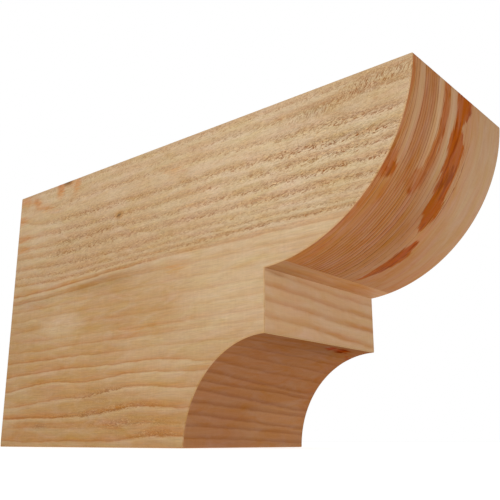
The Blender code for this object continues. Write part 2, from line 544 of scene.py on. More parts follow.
# The nose, along from its tip down the curve and across from the near side. Fine close rings lie near
# the near side, resin-soaked streaks beyond the middle, and the far third is plain.
NOSE = Figure(
    lines=(
        run(0, 0.12, 0.9, 3, 0.1, 0.7, 7.7, 0.1, 0.4, breadth=0.05),
        run(0, 0.25, 0.8, 3, 0.24, 0.7, 7.7, 0.26, 0.4, breadth=0.05),
        run(0, 0.42, 0.9, 3, 0.4, 0.6, 7.7, 0.44, 0.55, breadth=0.06),
        run(0, 0.6, 0.1, 3, 0.62, 0.3, 5, 0.64, 0.5, 7.7, 0.66, 0.85, breadth=0.05),
        run(0, 0.8, 0.8, 3, 0.78, 0.8, 7.7, 0.82, 0.85, breadth=0.08),
        run(0, 0.92, 0.6, 3, 0.9, 0.7, 7.7, 0.95, 0.85, breadth=0.06),
        run(0, 1.04, 0.6, 3, 1.03, 0.8, 7.7, 1.07, 0.85, breadth=0.06),
        run(0, 1.17, 0.7, 3, 1.15, 0.8, 7.7, 1.19, 1, breadth=0.06),
        run(0, 1.3, 0.6, 3, 1.27, 0.8, 7.7, 1.31, 1, breadth=0.06),
        run(0, 1.42, 0.6, 3, 1.39, 0.8, 7.7, 1.43, 1, breadth=0.06),
        run(0, 1.56, 0.9, 3, 1.52, 0.9, 7.7, 1.56, 1, breadth=0.09),
        run(0, 1.72, 0.1, 2.5, 1.66, 0.3, 4, 1.68, 0.9, 7.7, 1.7, 1.25, breadth=0.07),
        run(0, 1.95, 0.7, 2.5, 1.8, 0.6, 4, 1.83, 0.9, 7.7, 1.86, 1.25, breadth=0.07),
        run(0, 2.12, 0.8, 2.5, 1.98, 0.7, 4, 2, 0.9, 7.7, 2.05, 1.25, breadth=0.09),
        run(0, 2.32, 0.8, 2.5, 2.2, 0.8, 4, 2.17, 0.9, 7.7, 2.2, 1.25, breadth=0.08),
        run(0, 2.5, 0.1, 2.5, 2.36, 0.3, 4, 2.35, 0.7, 7.7, 2.38, 0.85, breadth=0.06),
        run(0, 2.66, 0.1, 2.5, 2.52, 0.3, 4, 2.52, 0.8, 7.7, 2.56, 1.25, breadth=0.08),
        run(0, 2.82, 0.3, 2.5, 2.76, 0.4, 4, 2.76, 0.5, 7.7, 2.8, 0.85, breadth=0.06),
        run(0, 3.05, 0.3, 2.5, 2.98, 0.4, 4, 2.98, 0.7, 7.7, 3.02, 1.25, breadth=0.08),
        run(0, 3.3, 0.3, 3, 3.26, 0.4, 7.7, 3.3, 0.55, breadth=0.06),
        run(0, 3.56, 0.3, 3, 3.54, 0.5, 7.7, 3.58, 1.1, breadth=0.07),
        run(0, 3.76, 0.1, 2.2, 3.75, 0.8, 3.5, 3.75, 0.8, 4.2, 3.76, 0.2, 7.7, 3.8, 0.4, breadth=0.04),
        run(0, 3.88, 0.1, 2.2, 3.86, 0.8, 3.5, 3.86, 0.8, 4.2, 3.9, 0.2, 7.7, 4, 0.55, breadth=0.04),
        run(0, 4.3, 0.08, 4, 4.32, 0.08, 7.7, 4.36, 0.12, breadth=0.12),
        run(0, 4.8, 0.08, 4, 4.82, 0.06, 7.7, 4.86, 0.12, breadth=0.12),
        run(0, 5.35, 0.08, 4, 5.36, 0.06, 7.7, 5.38, 0.1, breadth=0.12),
        run(0, 5.8, 0.1, 7.7, 5.82, 0.1, breadth=0.12),
    ),
    streaks=(
        Streak(((-0.2, 3.32, 0.52), (0.35, 3.32, 0.5), (0.55, 3.22, 0.4), (0.95, 3.03, 0.24),
                (1.25, 3.1, 0.4), (1.5, 3.15, 0.52), (2.2, 3.22, 0.44), (3, 3.28, 0.38), (3.4, 3.4, 0.42),
                (3.7, 3.42, 0.4), (4.2, 3.5, 0.14), (4.5, 3.6, -0.2), (9, 3.7, -0.4))),
        Streak(((0, 3.85, -0.4), (4.2, 3.95, -0.3), (4.55, 3.9, 0.06), (5, 3.88, 0.29), (5.3, 3.87, 0.35),
                (5.7, 3.82, 0.29), (6.1, 3.75, 0.19), (6.8, 3.62, 0.08), (7.3, 3.6, -0.2)), 1.15),
        Streak(((-0.2, 0.1, 0.14), (1.5, 0.08, 0.12), (3, 0.1, 0.1), (4, 0.1, -0.2)), 0.35),
        Streak(((-0.2, 0.9, 0.14), (1.5, 0.9, 0.1), (2.4, 0.9, -0.1), (9, 0.9, -0.4)), 0.25),
        Streak(((-0.2, 2.18, 0.2), (1, 2.12, 0.2), (2.5, 2.04, 0.2), (3.2, 1.98, 0.14),
                (4, 1.95, -0.2)), 0.62),
        Streak(((-0.2, 1.16, 0.42), (1.5, 1.14, 0.38), (3, 1.12, 0.3), (3.8, 1.1, -0.05)), 0.18),
    ),
    patches={
        Mark.RESIN: (
            (2.9, 0.22, 0.55, 0.24, 0.55), (3.08, 0.42, 0.28, 0.24, 0.95),
            (3.05, 1.74, 0.42, 0.3, 0.55), (3.25, 1.76, 0.22, 0.22, 1.1),
        ),
        Mark.TONE: (
            (1, 0.61, 2.6, 0.2, 0.08), (1, 1.76, 2.6, 0.22, 0.16), (1.2, 2.58, 2.8, 0.24, 0.09),
            (4.4, 3.65, 0.6, 0.6, 0.08), (1, 1.16, 3, 0.4, -0.05), (5.2, 2.2, 3.4, 2.8, -0.12),
            (4.2, 2.9, 3.2, 1.2, -0.07), (3.4, 5, 4.5, 1, -0.02), (5.9, 5.2, 3.2, 1.5, -0.07),
        ),
        Mark.WARMTH: (
            (5.2, 1.4, 3, 2.2, 0.5), (2.6, 5.2, 4.2, 1.2, -0.55), (5.4, 5.2, 3, 1.6, 0.35),
            (1, 0.61, 2.6, 0.22, -0.5), (1, 1.76, 2.6, 0.26, -0.55), (1.2, 2.58, 2.8, 0.28, -0.55),
            (1, 1.16, 3, 0.45, 0.1),
        ),
    },
    middle=(3.5, 3.0),
    tone=-0.015,
    # Painted shade: the tone darkens down the curve, as the nose turns to face the floor.
    tone_slope=(-0.026, 0.006),
    warmth=0.55,
    warmth_slope=(0.02, -0.06),
    drift=0.02,
    seed=53,
)

# The last of the nose's curve has the fillet's plainer wood. Along is across the width, from the near
# side, and across is down the curve.
NOSE_FOOT = Figure(
    lines=(
        run(0, 0.1, 0.25, 3, 0.16, 0.35, 6, 0.22, 0.35, breadth=0.12),
        run(0, 0.42, 0.35, 3, 0.5, 0.35, 6, 0.58, 0.45, breadth=0.1),
    ),
    patches={
        Mark.WARMTH: ((4.8, 0.35, 0.9, 0.3, 0.5),),
        Mark.TONE: ((2, 0.3, 1.8, 0.06, 0.08), (0.4, 0.35, 1.6, 1.2, -0.07)),
    },
    middle=(3.0, 0.35),
    # Painted shade: the foot faces the floor, so its tone is painted darker all over.
    tone=-0.195,
    tone_slope=(0.020, 0.0),
    warmth=0.8,
    drift=0.02,
    outward=-1.0,
    seed=59,
)

# The fillet, along from the near side and down from its top: broad soft orange stripes that dip away.
FILLET = Figure(
    lines=(
        run(0, 0.04, 1, 0.6, 0.08, 0.9, 1.2, 0.13, 0.6, 3, 0.2, 0.5, 6, 0.3, 0.7, breadth=0.16),
        run(0, 0.48, 0.8, 3, 0.6, 0.85, 5.7, 0.72, 0.9, 6, 0.73, 0.9),
        run(0, 0.93, 0.75, 3, 1.08, 0.8, 5.7, 1.17, 1, 6, 1.18, 1),
        run(0, 1.4, 0.7, 2.5, 1.52, 0.8, 5.5, 1.69, 0.8, 6, 1.72, 0.8),
        run(0, 1.84, 0.3, 3, 1.98, 0.3, 6, 2.1, 0.3, breadth=0.16),
    ),
    patches={
        Mark.TONE: ((0.5, 0.09, 1, 0.07, -0.13, 7),),
        Mark.WARMTH: (
            (5.2, 1.12, 1.3, 0.11, 0.8, 5), (5.2, 0.64, 1.1, 0.1, 0.8, 5), (3.6, 1.55, 2.2, 0.1, 0.6, 6),
        ),
    },
    warmth=0.35,
    outward=-1.0,
    seed=61,
)

# The cove, along from the near side and down from its top.
COVE = Figure(
    lines=(
        run(0, 0.3, 0.3, 6, 0.5, 0.3, breadth=0.14),
        run(0, 0.75, 0.35, 3, 0.85, 0.4, 6, 1.05, 0.5, breadth=0.14),
        run(0, 1.2, 0.45, 3, 1.34, 0.5, 6, 1.55, 0.5, breadth=0.14),
        run(0, 1.62, 0.5, 3, 1.8, 0.55, 6, 2.02, 0.5, breadth=0.14),
        run(0, 2.02, 0.55, 3, 2.25, 0.6, 6, 2.5, 0.5, breadth=0.14),
        run(0, 2.45, 0.85, 5, 2.95, 0.8, 6, 3, 0.7, breadth=0.16),
        run(0, 2.8, 0.8, 5, 3.1, 0.8, 6, 3.18, 0.7, breadth=0.12),
        run(0, 3.1, 0.85, 5, 3.6, 0.8, 6, 3.64, 0.7, breadth=0.15),
        run(0, 3.55, 0.85, 5, 3.8, 0.8, 6, 3.86, 0.7, breadth=0.15),
        run(0, 3.9, 0.85, 5, 4.24, 0.8, 6, 4.3, 0.7, breadth=0.14),
        run(0, 4.25, 0.75, 5, 4.42, 0.7, 6, 4.48, 0.6, breadth=0.12),
        run(0, 4.6, 0.65, 5, 4.72, 0.6, 6, 4.75, 0.6, breadth=0.12),
    ),
    streaks=(
        Streak(((3.7, 0.4, -0.1), (4.4, 0.42, 0.06), (5, 0.55, 0.09), (5.8, 1, 0.07), (6.2, 1.2, 0.04)),
               0.4),
    ),
    patches={
        Mark.RESIN: ((4, 0.42, 0.26, 0.17, 1.15), (4.66, 0.46, 0.46, 0.2, 1.15, 6)),
        Mark.TONE: (
            (4.3, 0.6, 1.4, 0.55, -0.08), (2.6, 0.6, 3.6, 1.2, -0.06), (4.6, 4.3, 2.2, 0.9, 0.06),
            (5.9, 2.6, 0.7, 2.6, 0.06),
        ),
        Mark.WARMTH: ((4.4, 4.2, 2.4, 1.2, -0.5), (5.9, 2.6, 0.7, 2.6, 0.4)),
    },
    middle=(3.0, 3.2),
    # Painted shade: darker towards the top, which faces down, and lighter towards the foot.
    tone_slope=(0.0, 0.075),
    warmth_slope=(0.0, -0.12),
    outward=-1.0,
    seed=67,
)


@dataclass(frozen=True)
class Pattern:
    """Noise stretched along the grain: its sizes in millimetres, and its turn from the grain in degrees."""

    length: float
    breadth: float
    detail: float = 2.0
    turn: float = 0.0
    bend: float = 0.0


@dataclass(frozen=True)
class WoodFinish:
    """How one kind of cut face of fir looks. Lengths are in millimetres.

    In each ring the late colour spreads over the band where late wood builds up, the line colour is its
    last dark edge, and the early colour is the pale new wood outside that edge.
    """

    name: str
    pale: str
    warm: str
    late: str
    line: str
    early: str
    resin: str
    core: str
    # Torn strokes' colours: painted shade, and painted highlights where fibres lift pale.
    torn_fibre_shade: str = "#915b2e"
    torn_fibre_highlight: str = "#dfbc88"
    late_depth: float = 0.50
    line_depth: float = 0.50
    early_depth: float = 0.30
    softness: float = 0.16
    fray: float = 1.2
    fibre_length: float = 26.0
    fibre_breadth: float = 1.1
    fibre_contrast: float = 0.22
    mottle_contrast: float = 0.16
    hue_drift: float = 0.010
    stroke_length: float = 3.8
    stroke_breadth: float = 1.0
    stroke_turn: float = 15.0
    stroke_depth: float = 0.80
    saw_pitch: float = 2.2
    saw_contrast: float = 0.05
    ring_wobble: float = 0.10
    resin_edge: float = 0.05
    roughness: float = 0.72
    gloss: float = 0.18
    relief: float = 0.12

    def patterns(self) -> dict[str, Pattern]:
        """Give each noise pattern of the finish.

        Returns:
            The patterns by name.
        """
        stroke = self.stroke_length, self.stroke_breadth
        return {
            "fibre": Pattern(self.fibre_length, self.fibre_breadth, 3.0),
            "fine": Pattern(self.fibre_length * 0.3, self.fibre_breadth * 0.5),
            "mottle": Pattern(34.0, 9.0, 4.0, bend=0.6),
            "hue": Pattern(48.0, 8.0, bend=0.4),
            "wobble": Pattern(16.0, 3.4),
            "shade": Pattern(*stroke, 2.0, self.stroke_turn, 1.1),
            "lift": Pattern(*stroke, 2.0, -1.5 * self.stroke_turn, 1.4),
            "upright": Pattern(self.stroke_length, 0.9 * self.stroke_breadth, 1.0, 58.0, 0.6),
            "ragged": Pattern(15.0, 1.5, 3.0),
            "core": Pattern(24.0, 3.4),
            "saw": Pattern(self.saw_pitch, 13.0, 2.0, bend=0.3),
        }

    def recipe(self) -> tuple[tuple[str | float, ...], ...]:
        """Give the finish's sums, in order.

        Each row is the result's name, what is done, and what it is done to: numbers, or the names of
        fields, patterns and earlier results. An EASE gives what it reads, where it is 0 and where it is
        1. A later row may take over an earlier name.

        Returns:
            The rows.
        """
        swinging = ("fibre", "fine", "mottle", "hue", "wobble", "shade", "saw")
        return (
            *((f"{name}_swing", "SUBTRACT", name, 0.5) for name in swinging),
            # Late wood builds up slowly through a ring and stops sharply at its edge, as it does in fir.
            # Places in a ring are counted from that edge, in breadths of the late wood. Where the grain
            # is torn, its fibres fray both edges of the band.
            ("count", "MULTIPLY_ADD", "wobble_swing", self.ring_wobble * 2, "ring_count"),
            ("edge", "ROUND", "count"),
            ("offset", "SUBTRACT", "count", "edge"),
            ("place", "MULTIPLY", "offset", "ring_fineness"),
            ("frayed", "MULTIPLY", "shade_swing", "torn_grain"),
            ("place", "MULTIPLY_ADD", "frayed", self.fray, "place"),
            ("streaky", "MULTIPLY_ADD", "fibre", 0.9, 0.5),
            ("strength", "MULTIPLY", "streaky", "ring_strength"),
            ("late_rise", "EASE", "place", -self.softness, 0.02),
            ("late_fall", "EASE", "place", 1.05, 0.20),
            ("late", "MULTIPLY", "late_rise", "late_fall"),
            ("late", "MULTIPLY", "late", "strength"),
            ("line_rise", "EASE", "place", -0.14, -0.02),
            ("line_fall", "EASE", "place", 0.30, 0.04),
            ("line", "MULTIPLY", "line_rise", "line_fall"),
            ("line", "MULTIPLY", "line", "strength"),
            ("calm", "EASE", "torn_grain", 1.5, 0.0),
            ("line", "MULTIPLY", "line", "calm"),
            ("early_rise", "EASE", "place", -1.1, -0.10),
            ("early_fall", "EASE", "place", 0.02, -0.10),
            ("early", "MULTIPLY", "early_rise", "early_fall"),
            ("early", "MULTIPLY", "early", "ring_strength"),
            # Resin has soaked in to a ragged edge, and has darker cores.
            ("soaked", "MULTIPLY_ADD", "ragged", 0.40, "resin_edge"),
            ("soaked", "EASE", "soaked", 0.22 - self.resin_edge, 0.22 + self.resin_edge),
            ("soaked", "MULTIPLY", "soaked", "resin_depth"),
            ("fibrous", "MULTIPLY_ADD", "fibre", 0.8, 0.58),
            ("resin", "MULTIPLY", "soaked", "fibrous"),
            ("core", "EASE", "core", 0.50, 0.64),
            ("core", "MULTIPLY", "soaked", "core"),
            # Torn grain: short curled strokes that lean off the grain, some in shade and some lifted pale.
            # Their pale and dark colours are painted highlights and painted shade on the torn fibres.
            ("torn", "MULTIPLY_ADD", "late", 1.15, 0.38),
            ("torn", "MULTIPLY", "torn", "torn_grain"),
            ("light", "EASE", "lift", 0.53, 0.63),
            ("light", "MULTIPLY", "light", "torn"),
            ("dark", "EASE", "shade", 0.52, 0.61),
            ("dark", "MULTIPLY", "dark", "torn"),
            ("upright", "EASE", "upright", 0.51, 0.61),
            ("upright", "MULTIPLY", "upright", "raised_grain"),
            # Raised grain's upright strokes get the same painted shade.
            ("dark", "MAXIMUM", "dark", "upright"),
            # Fine light and shade of the fibres, the saw's faint marks across them, and slow mottling.
            ("value", "ADD", "tone", 1.0),
            ("value", "MULTIPLY_ADD", "fibre_swing", self.fibre_contrast, "value"),
            ("value", "MULTIPLY_ADD", "fine_swing", self.fibre_contrast * 0.8, "value"),
            ("value", "MULTIPLY_ADD", "mottle_swing", self.mottle_contrast, "value"),
            ("value", "MULTIPLY_ADD", "saw_swing", self.saw_contrast * 2, "value"),
            ("hue", "MULTIPLY_ADD", "hue_swing", self.hue_drift * 2, 0.5),
            ("saturation", "MULTIPLY_ADD", "mottle_swing", -0.35, 1.0),
            # The height of the bump, as shares of the relief, and the roughness, less where resin is.
            ("height", "MULTIPLY", "late", 0.18),
            ("height", "MULTIPLY_ADD", "fibre", 0.40, "height"),
            ("height", "MULTIPLY_ADD", "fine", 0.30, "height"),
            ("height", "MULTIPLY_ADD", "saw", 0.20, "height"),
            ("height", "ADD", "height", "light"),
            ("height", "SUBTRACT", "height", "dark"),
            ("rough", "MULTIPLY_ADD", "fibre_swing", 0.12, self.roughness),
            ("rough", "MULTIPLY_ADD", "resin", -0.18, "rough"),
        )

    def material(self) -> bpy.types.Material:
        """Build the finish.

        Returns:
            The material, with all of its nodes.
        """
        made = bpy.data.materials.new(self.name)
        made.use_nodes = True
        made.node_tree.nodes.clear()
        add = partial(add_node, made.node_tree)

        at = {name: add("ShaderNodeAttribute", attribute_name=name).outputs["Fac"] for name in FIELDS}
        grain = add("ShaderNodeUVMap", uv_map=GRAIN_MAP)
        for name, pattern in self.patterns().items():
            placed = add(
                "ShaderNodeMapping",
                {"Vector": grain, "Rotation": (0.0, 0.0, math.radians(pattern.turn)),
                 "Scale": (pattern.length * MM, pattern.breadth * MM, 1.0)},
                vector_type="TEXTURE",
            )
            at[name] = add(
                "ShaderNodeTexNoise",
                {"Vector": placed, "Scale": 1.0, "Detail": pattern.detail, "Roughness": 0.6,
                 "Distortion": pattern.bend},
                noise_dimensions="2D",
            )
        for name, operation, *values in self.recipe():
            values = [at.get(value, value) for value in values]
            if operation == "EASE":
                inputs = dict(zip(("Value", "From Min", "From Max"), values))
                at[name] = add("ShaderNodeMapRange", inputs, interpolation_type="SMOOTHSTEP")
            else:
                at[name] = add("ShaderNodeMath", dict(enumerate(values)), operation=operation)

        # The colours are laid one over another. Inputs 6 and 7 of a Mix node are its two colours.
        colour = linear(self.pale)
        for name, depth, over in (
            ("warmth", 1.0, self.warm),
            ("early", self.early_depth, self.early),
            ("late", self.late_depth, self.late),
            ("line", self.line_depth, self.line),
            # The torn strokes' painted highlights, then their painted shade.
            ("light", self.stroke_depth * 0.75, self.torn_fibre_highlight),
            ("dark", self.stroke_depth, self.torn_fibre_shade),
            ("resin", 1.0, self.resin),
            ("core", 0.7, self.core),
        ):
            amount = add("ShaderNodeMath", {0: at[name], 1: depth}, operation="MULTIPLY")
            mixed = add("ShaderNodeMix", {0: amount, 6: colour, 7: linear(over)}, data_type="RGBA")
            colour = mixed.outputs[2]
        colour = add("ShaderNodeHueSaturation",
                     {"Color": colour, "Hue": at["hue"], "Saturation": at["saturation"],
                      "Value": at["value"]})
        bump = add("ShaderNodeBump",
                   {"Height": at["height"], "Strength": 1.0, "Distance": self.relief * MM})
        shader = add("ShaderNodeBsdfPrincipled",
                     {"Base Color": colour, "Roughness": at["rough"], "Normal": bump,
                      "Specular IOR Level": self.gloss})
        add("ShaderNodeOutputMaterial", {"Surface": shader})
        return made


# Rough-sawn fir: the saw has torn the late wood, so it reads as matt tan with fuzzy orange bands.
SIDE_FINISH = WoodFinish(
    name="rough_sawn_fir", pale="#c9b291", warm="#b18858", late="#b4763a", line="#945e2c", early="#d2bd99",
    resin="#c07834", core="#a35e28", late_depth=0.54, line_depth=0.45, softness=0.34,
    fibre_contrast=0.32, saw_contrast=0.06, hue_drift=0.012, resin_edge=0.16, relief=0.15,
)
# The top and underside are sawn along the grain too, and are a shade cleaner.
EDGE_FINISH = WoodFinish(
    name="rough_sawn_fir_edges", pale="#c9b291", warm="#b48d5e", late="#b1773e", line="#94602f",
    early="#d2bd99", resin="#b87234", core="#a35e28", softness=0.34, line_depth=0.35, stroke_turn=9.0,
    hue_drift=0.014, resin_edge=0.10,
)
# Cross-cut end grain is darker and duller, with open early wood and the blade's fine lines.
END_FINISH = WoodFinish(
    name="cross_cut_end_grain", pale="#b89066", warm="#a67a4a", late="#8e6236", line="#6e4626",
    early="#c29a70", resin="#985628", core="#7c4620", late_depth=0.7, fibre_length=1.3, fibre_breadth=1.0,
    fibre_contrast=0.24, stroke_depth=0.1, saw_pitch=3.2, ring_wobble=0.05, roughness=0.82,
)
# The bandsawn nose is cut at a slant through the rings: close lines, and resin that shows red-orange.
NOSE_FINISH = WoodFinish(
    name="bandsawn_fir_nose", pale="#b7926e", warm="#b37443", late="#a0602e", line="#70340f",
    early="#c39d78", resin="#a55216", core="#823a0c", late_depth=0.36, line_depth=0.95, early_depth=0.34,
    fibre_length=45.0, fibre_breadth=0.8, fibre_contrast=0.13, mottle_contrast=0.10, hue_drift=0.012,
    saw_pitch=1.6, saw_contrast=0.03, ring_wobble=0.16, roughness=0.62, gloss=0.02, relief=0.08,
)
# The fillet was cut last with a fine blade: smooth, with broad orange late wood.
FILLET_FINISH = WoodFinish(
    name="smooth_cut_fir", pale="#d0ad88", warm="#c69560", late="#b47236", line="#a06030", early="#d4b18c",
    resin="#a0582c", core="#8a4620", late_depth=0.45, line_depth=0.12, softness=0.5, fibre_contrast=0.13,
    mottle_contrast=0.08, saw_contrast=0.04, roughness=0.60, relief=0.07,
)
# The same fine blade ran on over the foot of the nose, whose wood is a shade browner.
FOOT_FINISH = replace(FILLET_FINISH, name="smooth_cut_fir_foot", pale="#c79a6c", warm="#c1864f")
# The cove was cut across the rings: red-brown, with soft darker stripes and no gloss.
COVE_FINISH = WoodFinish(
    name="bandsawn_fir_cove", pale="#a87851", warm="#9a633c", late="#804926", line="#703e1e",
    early="#ae7e56", resin="#9c4016", core="#661c08", late_depth=0.44, line_depth=0.15, softness=0.5,
    fibre_length=30.0, fibre_breadth=1.0, fibre_contrast=0.13, mottle_contrast=0.08, hue_drift=0.004,
    saw_pitch=1.8, resin_edge=0.08, roughness=0.7, gloss=0.0, relief=0.08,
)
# The arrises were eased by one light pass of a plane, which leaves clean pale wood.
ARRIS_FINISH = WoodFinish(
    name="eased_fir_arris", pale="#c6a67e", warm="#b08452", late="#a37443", line="#8b6038",
    early="#ccae88", resin="#a96232", core="#8c4c24", late_depth=0.3, line_depth=0.3, roughness=0.62,
    relief=0.04,
)


@dataclass(frozen=True)
class Cut:
    """One cut face: its figure and finish, the measures its grain lies along and across, and its rims'."""

    figure: Figure
    finish: WoodFinish
    along: str
    across: str
    rims: tuple[str, ...] = ()


CUTS = {
    Face.NEAR_SIDE: Cut(NEAR_SIDE, SIDE_FINISH, "from_back", "up", ("from_back", "to_top", "to_cut_end")),
    Face.FAR_SIDE: Cut(FAR_SIDE, SIDE_FINISH, "from_back", "up", ("from_back", "to_top", "to_cut_end")),
    Face.TOP: Cut(TOP, EDGE_FINISH, "from_back", "from_near", ("to_side", "from_back", "to_tip")),
    Face.UNDERSIDE: Cut(UNDERSIDE, EDGE_FINISH, "from_back", "from_near",
                        ("to_side", "from_back", "to_toe")),
    Face.BACK: Cut(BACK, END_FINISH, "from_near", "up", ("to_side", "up", "to_top")),
    Face.NOSE: Cut(NOSE, NOSE_FINISH, "down_nose", "from_near", ("to_side", "down_nose", "to_nose_end")),
    Face.NOSE_FOOT: Cut(NOSE_FOOT, FOOT_FINISH, "from_near", "down_foot",
                        ("to_side", "down_nose", "to_nose_end")),
    Face.FILLET: Cut(FILLET, FILLET_FINISH, "from_near", "down_fillet",
                     ("to_side", "down_fillet", "to_fillet_end")),
    Face.COVE: Cut(COVE, COVE_FINISH, "from_near", "down_cove", ("to_side", "down_cove", "to_cove_end")),
    Face.ARRIS: Cut(NEAR_SIDE, ARRIS_FINISH, "from_back", "up"),
}


@dataclass(frozen=True)
class TailProfile:
    """The outline of the tail, seen from the near side, in metres."""

    length: float = 18.0 * INCH
    width: float = 6.0 * INCH
    height: float = 10.0 * INCH
    cove_radius: float = 3.125 * INCH
    fillet_height: float = 1.875 * INCH
    nose_reach: float = 5.0 * INCH
    nose_sweep: float = math.radians(82.0)

    @property
    def back_x(self) -> float:
        """Where the timber joins the building."""
        return -self.length / 2

    @property
    def tip_x(self) -> float:
        """The nose's tip."""
        return self.length / 2

    @property
    def fillet_x(self) -> float:
        """The fillet's upright face."""
        return self.tip_x - self.nose_reach

    @property
    def toe_x(self) -> float:
        """Where the cove meets the underside."""
        return self.fillet_x - self.cove_radius

    @property
    def fillet_top(self) -> float:
        """Where the nose starts."""
        return self.cove_radius + self.fillet_height

    @property
    def nose_radius(self) -> float:
        """The radius of the nose's arc."""
        return self.nose_reach * math.sqrt(0.5) / math.sin(self.nose_sweep / 2)

    @property
    def nose_centre(self) -> tuple[float, float]:
        """The centre of the nose's arc, as x and z."""
        off = math.sqrt(0.5) * self.nose_radius * math.cos(self.nose_sweep / 2)
        return self.fillet_x + self.nose_reach / 2 - off, self.fillet_top + self.nose_reach / 2 + off

    @property
    def nose_length(self) -> float:
        """The length of the nose's curve."""
        return self.nose_radius * self.nose_sweep


def step_to(
    bm: bmesh.types.BMesh, vert: bmesh.types.BMVert, place: tuple[float, float, float]
) -> bmesh.types.BMVert:
    """Extrude one vertex in a straight line.

    Args:
        bm: the mesh.
        vert: the vertex to extrude.
        place: where the new one goes.

    Returns:
        The new vertex.
    """
    new = bmesh.ops.extrude_vert_indiv(bm, verts=[vert])["verts"][0]
    new.co = place
    return new


def read_all(
    items: bpy.types.bpy_prop_collection, name: str, width: int = 1, kind: type = float
) -> np.ndarray:
    """Read one property of all of a mesh's vertices, corners or faces.

    Args:
        items: the vertices, corners or faces.
        name: the property.
        width: how many numbers it has.
        kind: the numbers' type.

    Returns:
        The numbers, a row for each item where there are several.
    """
    values = np.empty(len(items) * width, kind)
    items.foreach_get(name, values)
    return values.reshape(-1, width) if width > 1 else values


